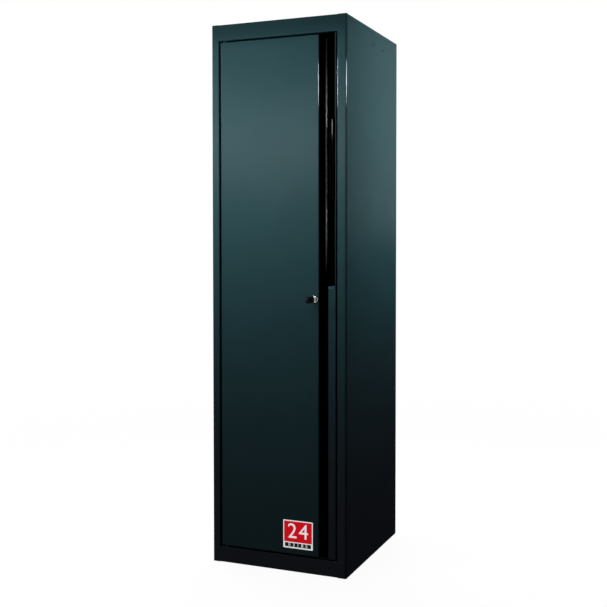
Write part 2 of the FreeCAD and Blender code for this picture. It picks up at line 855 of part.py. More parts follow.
def lock_escutcheon():
    """Black collar around the lock."""
    ring = rod_y(escutcheon_radius, lock_x, lock_height, -escutcheon_height, 0)
    ring = round_edges(ring, escutcheon_height / 2, lambda c: near(c.y, depth(-escutcheon_height)))
    return ring.cut(rod_y(lock_barrel_radius, lock_x, lock_height, -escutcheon_height - 1, 1))


def plug_face():
    return -escutcheon_height - lock_flange + plug_inset


def lock_plug():
    """Turning core of the lock, with the keyway."""
    plug = rod_y(plug_radius, lock_x, lock_height, plug_face(), lock_barrel_length)
    plug = round_edges(plug, plug_inset, lambda c: near(c.y, depth(plug_face())))
    half_t = key_blade_thickness / 2 + key_slot_clearance
    half_h = key_blade_height / 2 + key_slot_clearance
    plug = plug.cut(box(lock_x - half_t, lock_x + half_t,
                        plug_face() - 1, key_blade_depth + key_slot_clearance,
                        lock_height - half_h, lock_height + half_h))
    return plug.cut(rod_y(spindle_stub_radius, lock_x, lock_height,
                          lock_barrel_length - spindle_stub, lock_barrel_length))


def lock_spindle():
    """Shaft from the lock to the crank behind the recess."""
    stub = rod_y(spindle_stub_radius, lock_x, lock_height,
                 lock_barrel_length - spindle_stub, lock_barrel_length)
    shaft = rod_y(spindle_radius, lock_x, lock_height, lock_barrel_length, spindle_end)
    half = spindle_square / 2
    square = box(lock_x - half, lock_x + half, spindle_end, cam_back, lock_height - half, lock_height + half)
    spindle = join(stub, shaft, square)
    return spindle.cut(rod_y(cam_screw_radius, lock_x, lock_height, cam_back - cam_screw_length, cam_back))


def spindle_support():
    """Plate on the back of the recess that steadies the spindle."""
    plate = box(lock_x - support_left, lock_x + support_right,
                recess_back, recess_back + support_thickness,
                lock_height - support_height / 2, lock_height + support_height / 2)
    plate = round_edges(plate, edge_bend, lambda c: near(c.y, depth(recess_back + support_thickness / 2)))
    plate = plate.cut(rod_y(spindle_radius + plug_clearance, lock_x, lock_height,
                            recess_back - 1, recess_back + support_thickness + 1))
    return plate.cut(guide_screw_holes())


def crank_plate():
    """Two-armed crank with a pin for each locking rod."""
    d0 = spindle_end
    arm = box(lock_x - crank_radius, lock_x + crank_radius, d0, cam_back,
              lock_height - cam_arm_width / 2, lock_height + cam_arm_width / 2)
    hub = rod_y(cam_hub_radius, lock_x, lock_height, d0, cam_back)
    pieces = [hub]
    for side in (-1, 1):
        x = lock_x + side * crank_radius
        pieces.append(rod_y(cam_arm_width / 2, x, lock_height, d0, cam_back))
        pieces.append(rod_y(crank_pin_radius, x, lock_height, cam_back, cam_back + crank_pin_length))
    crank = join(arm, *pieces)
    crank.rotate(V(lock_x, 0, lock_height), Y_AXIS, -45)
    half = spindle_square / 2
    return crank.cut(box(lock_x - half, lock_x + half, d0 - 1, cam_back + 1,
                         lock_height - half, lock_height + half))


def crank_screw():
    shank = rod_y(cam_screw_radius, lock_x, lock_height, cam_back - cam_screw_length, cam_back)
    head = rod_y(cam_screw_head_radius, lock_x, lock_height, cam_back, cam_back + cam_screw_head)
    head = round_edges(head, cam_screw_head / 3, lambda c: near(c.y, depth(cam_back + cam_screw_head)))
    return join(shank, head)


def key_blade():
    """Steel blade of the key, with an eye for the folding head."""
    half_t = key_blade_thickness / 2
    blade = box(lock_x - half_t, lock_x + half_t, -key_pivot_reach, key_blade_depth,
                lock_height - key_blade_height / 2, lock_height + key_blade_height / 2)
    eye = rod_x(key_eye_radius, -key_pivot_reach, lock_height, lock_x - half_t, lock_x + half_t)
    pin_hole = rod_x(key_pin_radius + pin_clearance, -key_pivot_reach, lock_height,
                     lock_x - half_t - 1, lock_x + half_t + 1)
    return join(blade, eye).cut(pin_hole)


def key_head():
    """Plastic key head that folds over the end of the blade."""
    half_t = key_head_thickness / 2
    half_h = key_head_height / 2
    body = box(lock_x - half_t, lock_x + half_t, -key_reach, -key_pivot_reach,
               lock_height - half_h, lock_height + half_h)
    body = round_edges(body, key_head_round, lambda c: near(c.y, depth(-key_reach))
                       and near(c.x, lock_x))
    root = rod_x(half_h, -key_pivot_reach, lock_height, lock_x - half_t, lock_x + half_t)
    head = join(body, root)
    half_slot = key_blade_thickness / 2 + key_head_slot_clearance
    head = head.cut(box(lock_x - half_slot, lock_x + half_slot,
                        -key_pivot_reach - key_head_slot_reach, -key_pivot_reach + half_h + 1,
                        lock_height - half_h - 1, lock_height + half_h + 1))
    head = head.cut(rod_x(key_pin_radius, -key_pivot_reach, lock_height, lock_x - half_t, lock_x + half_t))
    head = head.cut(rod_x(key_ring_radius, -key_reach + key_ring_inset, lock_height,
                          lock_x - half_t, lock_x + half_t))
    dish_far = -key_pivot_reach - key_head_slot_reach
    for x0 in (lock_x - half_t, lock_x + half_t - key_dish_depth):
        head = head.cut(box(x0, x0 + key_dish_depth, dish_far - key_dish_length, dish_far,
                            lock_height - key_dish_height / 2, lock_height + key_dish_height / 2))
    return head


def key_pin():
    half_t = key_head_thickness / 2
    return rod_x(key_pin_radius, -key_pivot_reach, lock_height, lock_x - half_t, lock_x + half_t)


# ---- locking rods --------------------------------------------------------------------
def locking_rod(x, side):
    """Flat bar from the crank to a keeper: side +1 goes up, -1 goes down."""
    pin_z = lock_height - side * crank_low
    half_slot = crank_pin_radius + slot_clearance
    near_end = pin_z - side * (half_slot + rod_end_margin)
    far_end = (opening_top - rod_rest_gap) if side > 0 else (opening_bottom + rod_rest_gap)
    bar = box(x - rod_width / 2, x + rod_width / 2, rod_depth, rod_back,
              min(near_end, far_end), max(near_end, far_end))
    bar = round_edges(bar, rod_width / 4, lambda c: near(c.z, far_end) and not near(c.x, x))
    reach = (crank_radius - crank_radius * cos(crank_start)) / 2 + half_slot
    slot = box(x - reach, x + reach, rod_depth, rod_back, pin_z - half_slot, pin_z + half_slot)
    return bar.cut(slot)


def guide_heights():
    """Heights of the rod guides: two above the lock and two below."""
    return [lock_height + side * offset for side in (-1, 1) for offset in (rod_guide_near, rod_guide_far)]


def rod_guides():
    """Nylon blocks behind the recess. All are alike, with a way through for either rod."""
    guides = []
    for z in guide_heights():
        block = box(lock_x - rod_guide_left, lock_x + rod_guide_right,
                    recess_back, recess_back + rod_guide_thickness,
                    z - rod_guide_height / 2, z + rod_guide_height / 2)
        middle = depth(recess_back + rod_guide_thickness / 2)
        block = round_edges(block, 2 * sheet, lambda c: near(c.y, middle))
        half = rod_width / 2 + rod_guide_clearance
        for x in (upper_rod_x, lower_rod_x):
            block = block.cut(box(x - half, x + half,
                                  rod_depth - rod_guide_clearance, rod_back + rod_guide_clearance,
                                  z - rod_guide_height, z + rod_guide_height))
        guides.append(block.cut(guide_screw_holes()))
    return Part.makeCompound(guides)


def guide_screw_x():
    return lock_x + guide_screw_offset


def screw_heights():
    return guide_heights() + [lock_height]


def guide_screw_holes():
    """Holes in the recess's back, the guides and the spindle support."""
    return Part.makeCompound([rod_y(guide_screw_radius, guide_screw_x(), z, recess_depth - guide_screw_grip,
                                    recess_back + rod_guide_thickness) for z in screw_heights()])


def guide_screws():
    """Screws that hold the guides and the spindle support."""
    screws = []
    for z in guide_heights():
        end = recess_back + rod_guide_thickness
        shank = rod_y(guide_screw_radius, guide_screw_x(), z, recess_depth, end)
        head = rod_y(guide_screw_head_radius, guide_screw_x(), z, end, end + guide_screw_head)
        screws.append(join(shank, head))
    end = recess_back + support_thickness
    shank = rod_y(guide_screw_radius, guide_screw_x(), lock_height, recess_depth, end)
    head = rod_y(guide_screw_head_radius, guide_screw_x(), lock_height, end, end + guide_screw_head)
    screws.append(join(shank, head))
    return Part.makeCompound(screws)


parts = {
    "left_side_panel": side_panel(-1, hinge_post_width),
    "right_side_panel": side_panel(1, lock_post_width),
    "back_panel": back_panel(),
    "back_panel_rivets": back_rivets(),
    "roof_panel": roof_panel(),
    "top_rail": top_rail(),
    "bottom_rail": bottom_rail(),
    "floor_panel": floor_panel(),
    "upper_pivot_bracket": pivot_bracket(True),
    "lower_pivot_bracket": pivot_bracket(False),
    "upper_hinge_pin": hinge_pin(True),
    "lower_hinge_pin": hinge_pin(False),
    "pivot_bracket_screws": bracket_screws(),
    "upper_rod_keeper": rod_keeper(upper_rod_x, opening_top + sheet),
    "lower_rod_keeper": rod_keeper(lower_rod_x, opening_bottom - sheet - keeper_thickness),
    "door_stop_brackets": door_stops(),
    "door_buffers": door_buffers(),
    "front_left_upright": shelf_upright(-1, upright_depths()[0]),
    "front_right_upright": shelf_upright(1, upright_depths()[0]),
    "rear_left_upright": shelf_upright(-1, upright_depths()[1]),
    "rear_right_upright": shelf_upright(1, upright_depths()[1]),
    "lower_shelf": shelf(shelf_heights[0]),
    "middle_shelf": shelf(shelf_heights[1]),
    "upper_shelf": shelf(shelf_heights[2]),
    "shelf_clips": shelf_clips(),
    "door_panel": door_panel(),
    "handle_channel": handle_channel(),
    "channel_end_caps": channel_end_caps(),
    "door_stiffener": door_stiffener(),
    "grip_handle": grip_handle(),
    "grip_screws": grip_screws(),
    "upper_pivot_bush": pivot_bush(True),
    "lower_pivot_bush": pivot_bush(False),
    "lock_barrel": lock_barrel(),
    "lock_clip": lock_clip(),
    "lock_escutcheon": lock_escutcheon(),
    "spindle_support": spindle_support(),
    "rod_guides": rod_guides(),
    "guide_screws": guide_screws(),
    "number_label": number_label(),
    "lock_plug": lock_plug(),
    "lock_spindle": lock_spindle(),
    "crank_plate": crank_plate(),
    "crank_screw": crank_screw(),
    "key_blade": key_blade(),
    "key_head": key_head(),
    "key_pivot_pin": key_pin(),
    "upper_locking_rod": locking_rod(upper_rod_x, 1),
    "lower_locking_rod": locking_rod(lower_rod_x, -1),
}

os.makedirs("parts", exist_ok=True)
for name, shape in parts.items():
    shape.exportStep("parts/" + name + ".step")
    solids = shape.Solids
    print("%-22s solids %2d  volume %10.0f  valid %s" % (
        name, len(solids), sum(s.Volume for s in solids), shape.isValid()))
print("pivot x %.2f y %.2f, lock x %.2f y %.2f z %.2f" % (
    pivot_x, depth(pivot_depth), lock_x, front, lock_height))
print("key pivot y %.2f, rod travel %.3f, ratio per radian %.6f" % (
    depth(-key_pivot_reach), rod_travel, rod_travel / (pi / 2)))
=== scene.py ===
# %% [markdown]
# # A tool chest side locker
# A tall, narrow steel locker that stands beside a roller cabinet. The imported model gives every
# sheet, rod and screw in its true place, in metres. This lesson dresses it: first the camera and
# a studio, then a finish for each material, then the filled, moulded and printed pieces that
# deserve a mesh of their own.

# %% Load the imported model
from math import pi, radians

import bmesh
import bpy
from mathutils import Matrix, Vector


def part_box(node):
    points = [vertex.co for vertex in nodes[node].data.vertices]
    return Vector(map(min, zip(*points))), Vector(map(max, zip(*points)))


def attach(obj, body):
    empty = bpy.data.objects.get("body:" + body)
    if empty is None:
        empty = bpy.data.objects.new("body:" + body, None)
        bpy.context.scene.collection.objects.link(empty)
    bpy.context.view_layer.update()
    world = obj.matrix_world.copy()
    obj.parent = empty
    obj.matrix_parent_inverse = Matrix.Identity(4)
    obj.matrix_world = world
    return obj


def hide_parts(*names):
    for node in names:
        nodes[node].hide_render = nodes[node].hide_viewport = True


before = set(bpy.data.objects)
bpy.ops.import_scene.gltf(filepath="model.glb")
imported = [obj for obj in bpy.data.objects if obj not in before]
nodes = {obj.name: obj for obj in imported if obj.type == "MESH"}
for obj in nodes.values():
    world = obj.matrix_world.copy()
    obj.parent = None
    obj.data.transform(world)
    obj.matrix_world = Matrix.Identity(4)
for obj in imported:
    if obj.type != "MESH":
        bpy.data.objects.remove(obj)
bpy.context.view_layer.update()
MM = 0.001
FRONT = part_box("door_panel")[0].y
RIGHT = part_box("right_side_panel")[1].x
scene = bpy.context.scene
print("nodes:", len(nodes), "front plane y:", round(FRONT, 4), "right side x:", round(RIGHT, 4))

# %% [markdown]
# ## The camera
# It stands to the right of the door, a little above mid height, and looks left. Its turns are
# the turn about the vertical, a small tilt down and a trace of roll. The lens follows from how
# strongly the sides converge, and a small shift brings the locker to the middle of the frame
# with less tilt, so the uprights stay nearly upright. The camera could also be aimed at a point,
# but a product of matrices sets each turn on its own, in an order that can be read.

# %% Camera
CAMERA_PLACE = (1.0794, -2.5942, 0.9033)
CAMERA_TURN = radians(22.662)
CAMERA_TILT = radians(-1.738)
CAMERA_ROLL = radians(-0.033)
CAMERA_LENS = 57.447
CAMERA_SHIFT = -0.0552

camera = bpy.data.objects.new("camera", bpy.data.cameras.new("camera"))
scene.collection.objects.link(camera)
camera.matrix_world = (Matrix.Translation(CAMERA_PLACE)
                       @ Matrix.Rotation(CAMERA_TURN, 4, "Z")
                       @ Matrix.Rotation(pi / 2 + CAMERA_TILT, 4, "X")
                       @ Matrix.Rotation(CAMERA_ROLL, 4, "Z"))
camera.data.lens = CAMERA_LENS
camera.data.shift_y = CAMERA_SHIFT
scene.camera = camera
scene.view_settings.view_transform = "Standard"
print("camera at", CAMERA_PLACE, "lens", CAMERA_LENS)

# %% [markdown]
# ## Writing shader maths as sums
# A finish is a web of nodes. Placing them one by one is slow to read, so one small class holds a
# node tree and an output socket. Sums on it add Math nodes, and its method `node` adds any other
# node: first the node's settings, then its sockets. Colours go through Mix nodes instead, because
# a Math node would turn them grey.

# %% A socket that can be added and multiplied
class Wire:
    """A node tree with one of its output sockets. Sums add Math nodes."""

    def __init__(self, tree, socket=None):
        self.tree = tree
        self.socket = socket

    def node(self, kind, settings=None, sockets=None, out=0):
        made = self.tree.nodes.new(kind)
        for name, value in (settings or {}).items():
            setattr(made, name, value)
        for name, value in (sockets or {}).items():
            if isinstance(value, Wire):
                self.tree.links.new(value.socket, made.inputs[name])
            else:
                made.inputs[name].default_value = value
        return Wire(self.tree, made.outputs[out]) if len(made.outputs) else None

    def math(self, operation, *values):
        return self.node("ShaderNodeMath", {"operation": operation}, dict(enumerate(values)))

    def __add__(self, other): return self.math("ADD", self, other)
    def __radd__(self, other): return self.math("ADD", other, self)
    def __sub__(self, other): return self.math("SUBTRACT", self, other)
    def __rsub__(self, other): return self.math("SUBTRACT", other, self)
    def __mul__(self, other): return self.math("MULTIPLY", self, other)
    def __rmul__(self, other): return self.math("MULTIPLY", other, self)


def grey(level):
    """A colour of one level in red, green and blue."""
    return (level, level, level, 1)


# %% [markdown]
# ## The studio
# The floor and the world are white to the camera and in mirrors, and dim to soft light, as in a
# room with dark walls where only the paper roll is lit. More light would make a backdrop white
# too, but it would wash out dark paint. The kind of ray tells the two apart instead.

# %% World
ROOM_LIGHT = 0.03
WHITE = grey(1.0)


def seen_directly(start):
    """One where the camera, a mirror or glass looks, none where soft light travels."""
    rays = [start.node("ShaderNodeLightPath", out=name)
            for name in ("Is Camera Ray", "Is Glossy Ray", "Is Transmission Ray")]
    return start.math("MINIMUM", rays[0] + rays[1] + rays[2], 1.0)


world = bpy.data.worlds.new("studio")
world.use_nodes = True
world.node_tree.nodes.clear()
start = Wire(world.node_tree)
dim = start.node("ShaderNodeBackground", sockets={"Color": WHITE, "Strength": ROOM_LIGHT})
white = start.node("ShaderNodeBackground", sockets={"Color": WHITE, "Strength": 1.0})
sky = start.node("ShaderNodeMixShader", sockets={0: seen_directly(start), 1: dim, 2: white})
start.node("ShaderNodeOutputWorld", sockets={"Surface": sky})
scene.world = world
print("room light:", ROOM_LIGHT)

# %% [markdown]
# The floor adds the lamps' light to its own, so the locker still drops a soft shadow on it. It is a
# little greyer near the locker, black right under it as a painted shadow, and from below it is
# clear. A curved paper roll could stand behind, but a wide floor and a world of one white have no
# edge to hide.

# %% Floor
FLOOR_TONE = 0.95
FLOOR_SIZE = 60.0
FLOOR_DROP = 0.0005
FLOOR_CATCH, FLOOR_BOUNCE = 0.04, 0.03
NEAR_FADE = 0.7
UNDER_INSET = 0.004

bpy.ops.object.select_all(action="DESELECT")
bpy.ops.mesh.primitive_plane_add(size=FLOOR_SIZE, location=(0, 0, -FLOOR_DROP))
floor = bpy.context.object
floor.name = "floor"
paper = bpy.data.materials.new("paper_roll")
paper.use_nodes = True
paper.node_tree.nodes.clear()
start = Wire(paper.node_tree)
place = start.node("ShaderNodeTexCoord", out="Object")
away = start.node("ShaderNodeVectorMath", {"operation": "LENGTH"}, {0: place}, out="Value")
near = start.math("EXPONENT", away * -NEAR_FADE)
tone = 1.0 - near * (1.0 - FLOOR_TONE)
parts = [start.node("ShaderNodeSeparateXYZ", sockets={0: place}, out=axis) for axis in "XY"]
# Painted shadow: the floor is black under the locker's footprint.
under = [start.math("LESS_THAN", start.math("ABSOLUTE", part), half - UNDER_INSET)
         for part, half in zip(parts, (RIGHT, -FRONT))]
tone = tone * (1.0 - under[0] * under[1])
tone = start.node("ShaderNodeCombineColor", sockets={0: tone, 1: tone, 2: tone})
glow = start.node("ShaderNodeEmission", sockets={"Color": tone, "Strength": 1.0})
catch = start.node("ShaderNodeBsdfDiffuse", sockets={"Color": grey(FLOOR_CATCH)})
lit = start.node("ShaderNodeAddShader", sockets={0: glow, 1: catch})
soft = start.node("ShaderNodeBsdfDiffuse", sockets={"Color": grey(FLOOR_BOUNCE)})
mixed = start.node("ShaderNodeMixShader", sockets={0: seen_directly(start), 1: soft, 2: lit})
below = start.node("ShaderNodeNewGeometry", out="Backfacing")
clear = start.node("ShaderNodeBsdfTransparent")
mixed = start.node("ShaderNodeMixShader", sockets={0: below, 1: mixed, 2: clear})
start.node("ShaderNodeOutputMaterial", sockets={"Surface": mixed})
floor.data.materials.append(paper)
print("floor", FLOOR_SIZE, "m wide")

# %% [markdown]
# ## The lamps
# Dark, satin paint shows its lamps more than its colour. A wide, flat lamp close to the door gives
# the soft band of light across its upper half and leaves the foot dark. Others stand at the
# sides, behind and above. Two small ones, high up on either side, draw thin lines on the folds.
# One large lamp far away would be simpler, but flat sheets would then show one flat tone.

# %% Lamps
def soft_lamp(name, place, target, size, watts, spread=180):
    """A rectangular lamp that faces its target. A small spread keeps its light ahead."""
    data = bpy.data.lights.new(name, "AREA")
    data.shape = "RECTANGLE"
    data.size, data.size_y = size
    data.energy = watts
    data.spread = radians(spread)
    lamp = bpy.data.objects.new(name, data)
    scene.collection.objects.link(lamp)
    lamp.location = place
    lamp.rotation_mode = "QUATERNION"
    lamp.rotation_quaternion = (Vector(target) - Vector(place)).to_track_quat("-Z", "Y")
    lamp.visible_camera = False
    return lamp


soft_lamp("front_lamp", (-0.25, FRONT - 0.60, 1.23), (-0.25, FRONT, 1.20), (1.0, 0.15), 10.8)
soft_lamp("side_lamp", (RIGHT + 0.65, 0.18, 1.29), (RIGHT, 0.18, 1.29), (0.5, 0.50), 6.0, 140)
soft_lamp("rear_side_lamp", (RIGHT + 0.26, 1.05, 1.35), (RIGHT, 0.20, 1.31), (0.12, 0.85), 8.2, 145)
soft_lamp("left_lamp", (-RIGHT - 0.8, 0.35, 1.2), (-RIGHT, 0.05, 1.0), (0.6, 0.4), 17.0)
soft_lamp("back_lamp", (-0.3, 1.35, 1.2), (0, 0.25, 0.9), (0.6, 0.4), 19.0)
soft_lamp("roof_lamp", (0, 0.03, 2.5), (0, 0.03, 1.5), (0.4, 0.4), 2.6, 50)
FOLDS_MIDDLE = (0.17, FRONT, 1.32)
for name, place, watts in (("right_fold_lamp", (0.86, -1.29, 1.53), 19.0),
                           ("left_fold_lamp", (-1.06, -0.64, 1.53), 20.0)):
    fold_lamp = soft_lamp(name, place, FOLDS_MIDDLE, (0.22, 0.12), watts)
    fold_lamp.visible_diffuse = False

# %% [markdown]
# ## Finishes
# Every finish starts the same way: an empty material, a few patterns on the object's own
# coordinates, and one Principled shader at the end. What varies goes to colour, roughness,
# metal, coat weight or the normal. What doesn't is set straight on the shader. Pictures would
# need files and blur close up. Patterns made of noise need neither, and stay on a moving piece.

# %% Tools for the finishes
SHADE = {"base": "Base Color", "rough": "Roughness", "metal": "Metallic", "normal": "Normal",
         "coat": "Coat Weight", "coat_rough": "Coat Roughness", "specular": "Specular IOR Level",
         "emission": "Emission Color", "emitted": "Emission Strength"}


def new_finish(name):
    material = bpy.data.materials.new(name)
    material.use_nodes = True
    material.node_tree.nodes.clear()
    return material, Wire(material.node_tree)


def close_finish(start, **shader):
    surface = start.node("ShaderNodeBsdfPrincipled",
                         sockets={SHADE[key]: value for key, value in shader.items()})
    start.node("ShaderNodeOutputMaterial", sockets={"Surface": surface})


def coordinates(start):
    """Object coordinates, and their three parts."""
    place = start.node("ShaderNodeTexCoord", out="Object")
    return place, *(start.node("ShaderNodeSeparateXYZ", sockets={0: place}, out=axis)
                    for axis in "XYZ")


def grain(start, place, scale, detail=2.0, stretch=(1, 1, 1)):
    """Noise between 0 and 1, in features of about 1 / scale metres."""
    if stretch != (1, 1, 1):
        place = start.node("ShaderNodeVectorMath", {"operation": "MULTIPLY"}, {0: place, 1: stretch})
    return start.node("ShaderNodeTexNoise", sockets={"Vector": place, "Scale": scale,
                                                     "Detail": detail})


def blend(start, mask, low, high):
    """One colour where the mask is 0, another where it is 1."""
    return start.node("ShaderNodeMix", {"data_type": "RGBA"}, {0: mask, 6: low, 7: high}, out=2)


def ramp(start, value, low, high):
    """0 below low, 1 above high, and smooth between."""
    return start.node("ShaderNodeMapRange", {"interpolation_type": "SMOOTHSTEP"},
                      {0: value, 1: low, 2: high, 3: 0.0, 4: 1.0})


def band(start, value, low, high, soft):
    """1 between low and high, 0 outside, with soft ends."""
    return (ramp(start, value, low - soft, low + soft)
            - ramp(start, value, high - soft, high + soft))


def relief(start, height, depth):
    """Fine bumps: the height's pattern, as deep as the depth in metres."""
    return start.node("ShaderNodeBump", sockets={"Strength": 1.0, "Distance": depth,
                                                 "Height": height})


# %% [markdown]
# ### Paint
# The steel is coated dark green-black. Stoved paint has a fine skin like orange peel, the sheet
# under it is never quite flat, and the colour drifts a little. Towards the foot a painted shade
# makes it darker and bluer. One plain colour would do for a small part. On a sheet this large it
# would look like plastic.

# %% Paint and its patterns
PAINT = (0.0120, 0.0375, 0.0430, 1)
PAINT_DEEP = (0.0105, 0.0340, 0.0395, 1)
# Painted shade: the colour towards the foot, and the heights over which it comes in.
PAINT_FOOT_SHADE = (0.0070, 0.0058, 0.0125, 1)
FOOT_SHADE_FROM, FOOT_SHADE_TO = 0.05, 0.90
SKIN = 0.00002
PAINT_ROUGH, COAT_ROUGH = 0.5, 0.42


def paint_patterns(start, place):
    """The drift of the colour and the orange peel."""
    return grain(start, place, 5.0, 3.0), grain(start, place, 620.0, 2.0)


def paint_tone(start, cloud, z, foot_shade):
    """The drifting colour of the paint, with a painted shade that makes it darker and bluer towards
    the foot.
    """
    tone = blend(start, ramp(start, cloud, 0.35, 0.65), PAINT, PAINT_DEEP)
    return blend(start, (1.0 - ramp(start, z, FOOT_SHADE_FROM, FOOT_SHADE_TO)) * foot_shade, tone, PAINT_FOOT_SHADE)


print("paint:", PAINT[:3], "at the foot:", PAINT_FOOT_SHADE[:3])

# %% [markdown]
# At one height, where the fold lamps reflect, the front folds carry a shiny metal band: a painted
# highlight that the lamps light. Elsewhere the folds, the rail over the door and the walls of the
# narrow gaps are darkened as painted shade. Each place could have a material of its own, but the
# sheets would have to be cut up. Masks built from the object's own coordinates find the places on
# whole sheets. The depth is counted from the front plane.

# %% Paint of the door and the cabinet
# Painted highlight on the folds: the shiny band's tones, brighter on the post's left fold, and where
# it lies.
FOLD_HIGHLIGHT = (0.024, 0.028, 0.029, 1)
FOLD_HIGHLIGHT_POST = (0.25, 0.265, 0.28, 1)
FOLD_HIGHLIGHT_HEIGHTS = (1.262, 1.378)
FOLD_HIGHLIGHT_SIDE = (0.08, 0.10)
POST_FOLDS = (0.160, 0.185)
FACE_END = (0.001, 0.004)
FOLD_DEPTH = (0.00014, 0.0008)
SIDE_FOLD = (RIGHT - 0.0064, RIGHT - 0.0054)
SIDE_FOLD_DEPTH = (0.002, 0.004)
# Painted shade: how deep the darkened gap walls reach, the opening they line and the rail's heights.
GAP_SHADE_START, GAP_SHADE_END = (0.0006, 0.0016), (0.030, 0.040)
OPENING_HALF, OPENING_HEIGHTS, OPENING_SOFT = 0.180, (0.040, 1.460), 0.003
RAIL_SHADE = (1.42, 1.49)


def paint_finish(name, face_coat, side_coat, foot_shade):
    """Satin paint. The coat weights are for what faces forward and for the rest."""
    material, start = new_finish(name)
    place, x, y, z = coordinates(start)
    depth = y - FRONT
    cloud, peel = paint_patterns(start, place)
    sheet = grain(start, place, 7.0, 1.0)
    face = 1.0 - ramp(start, depth, *FACE_END)
    coat = side_coat + face * (face_coat - side_coat)

    # Painted highlight: the folds turn to shiny metal at one height, where the fold lamps reflect.
    fold = band(start, depth, *FOLD_DEPTH, 0.00007)
    reach = band(start, z, *FOLD_HIGHLIGHT_HEIGHTS, 0.012) * ramp(start, x, *FOLD_HIGHLIGHT_SIDE)
    fold_highlight = fold * reach
    post = band(start, x, *POST_FOLDS, 0.002)
    tone = blend(start, fold_highlight, paint_tone(start, cloud, z, foot_shade),
                 blend(start, post, FOLD_HIGHLIGHT, FOLD_HIGHLIGHT_POST))

    # Painted shade: darker gap walls round the door, a dark line along the folds and the side's fold,
    # and a darker rail over the door.
    gap = ramp(start, depth, *GAP_SHADE_START) * (1.0 - ramp(start, depth, *GAP_SHADE_END))
    aside = ramp(start, start.math("ABSOLUTE", x), OPENING_HALF, OPENING_HALF + OPENING_SOFT)
    gap = gap * (1.0 - aside) * band(start, z, *OPENING_HEIGHTS, OPENING_SOFT)
    corner = ramp(start, x, *SIDE_FOLD) * (1.0 - ramp(start, depth, *SIDE_FOLD_DEPTH))
    line = start.math("MAXIMUM", fold, corner) * (1.0 - reach) * (1.0 - post)
    rail = ramp(start, z, *RAIL_SHADE) * face
    painted_shade = start.math("MAXIMUM", line * 0.55, gap * 0.8)
    painted_shade = start.math("MAXIMUM", painted_shade, rail * 0.4)

    close_finish(start, base=blend(start, painted_shade, tone, grey(0.0)), rough=PAINT_ROUGH - 0.36 * fold_highlight,
                 metal=fold_highlight * 0.85, specular=0.0, coat_rough=COAT_ROUGH,
                 coat=coat * (0.85 + 0.3 * cloud) * (1.0 - painted_shade) * (1.0 - fold_highlight),
                 normal=relief(start, (peel + sheet * 30.0) * (1.0 - fold_highlight), SKIN))
    return material


# The last number sets how strongly the painted shade darkens the foot.
door_paint = paint_finish("door_paint", 0.10, 0.03, 0.35)
body_paint = paint_finish("body_paint", 0.10, 0.022, 0.85)
print("painted:", door_paint.name, body_paint.name)

# %% [markdown]
# The channel beside the door has the door's paint only on its pull lip, on the hem along the post
# and behind. The inside of the recess is painted black as shade. Two meshes with two paints would
# show a seam, so one mask parts the colours on one sheet.

# %% Paint of the channel
# Painted shade: the black that stands for the shade deep in the recess.
SHADE_BLACK = (0.0004, 0.0003, 0.0004, 1)
LIP_TOP = 0.785
HEM_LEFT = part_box("handle_channel")[1].x - 0.0022
CHANNEL_BACK, CHANNEL_OUTSIDE = 0.0503, 0.1675
GRADE = 0.0003


def channel_finish():
    """Door paint on what faces the room, and black as painted shade inside the recess."""
    material, start = new_finish("channel_paint")
    place, x, y, z = coordinates(start)
    depth = y - FRONT
    cloud, peel = paint_patterns(start, place)
    lip = 1.0 - ramp(start, z, LIP_TOP - 0.004, LIP_TOP - 0.001)
    hem = ramp(start, x, HEM_LEFT, HEM_LEFT + GRADE)
    front = start.math("MAXIMUM", lip, hem) * (1.0 - ramp(start, depth, 0.003, 0.006))
    rear = start.math("MAXIMUM", ramp(start, depth, CHANNEL_BACK, CHANNEL_BACK + GRADE),
                      ramp(start, x, CHANNEL_OUTSIDE, CHANNEL_OUTSIDE + GRADE))
    shown = start.math("MAXIMUM", front, rear)
    # Painted shade: the lip and the hem darken towards the foot, more than the door.
    close_finish(start, base=blend(start, shown, SHADE_BLACK, paint_tone(start, cloud, z, 0.9)),
                 rough=PAINT_ROUGH, specular=0.0, coat=shown * (0.09 + 0.02 * cloud),
                 coat_rough=COAT_ROUGH, normal=relief(start, peel, SKIN))
    return material


channel_paint = channel_finish()
print("lip painted up to z:", LIP_TOP)

# %% [markdown]
# ### Plain metals
# Zinc plate is a cool grey with cloudy patches and a faint yellow cast. Chrome is clean but for
# hairline rubbing. Rivet aluminium is paler and softer, and the hinge pins are blackened. They
# differ only in tones, shine and the run of their lines, so one function serves all four.

# %% Metals
def metal_finish(name, bright, dull, rough, line_scale, stretch):
    material, start = new_finish(name)
    place, x, y, z = coordinates(start)
    patch = grain(start, place, 140.0, 4.0)
    lines = grain(start, place, line_scale, 2.0, stretch)
    tone = blend(start, ramp(start, patch, 0.38, 0.62), bright, dull)
    close_finish(start, base=tone, metal=1.0, rough=rough + 0.16 * patch + 0.1 * lines,
                 normal=relief(start, lines, 0.00003))
    return material


zinc = metal_finish("zinc_plate", (0.34, 0.35, 0.36, 1), (0.26, 0.25, 0.21, 1), 0.22, 260.0,
                    (1, 1, 0.15))
chrome = metal_finish("chrome", (0.62, 0.62, 0.63, 1), (0.55, 0.55, 0.56, 1), 0.02, 900.0,
                      (1, 0.1, 1))
aluminium = metal_finish("rivet_aluminium", (0.60, 0.60, 0.61, 1), (0.50, 0.50, 0.52, 1), 0.3,
                         500.0, (1, 1, 1))
black_oxide = metal_finish("black_oxide", (0.02, 0.02, 0.021, 1), (0.012, 0.012, 0.013, 1), 0.3, 400.0,
                           (1, 1, 0.3))
print("metals:", zinc.name, chrome.name, aluminium.name, black_oxide.name)

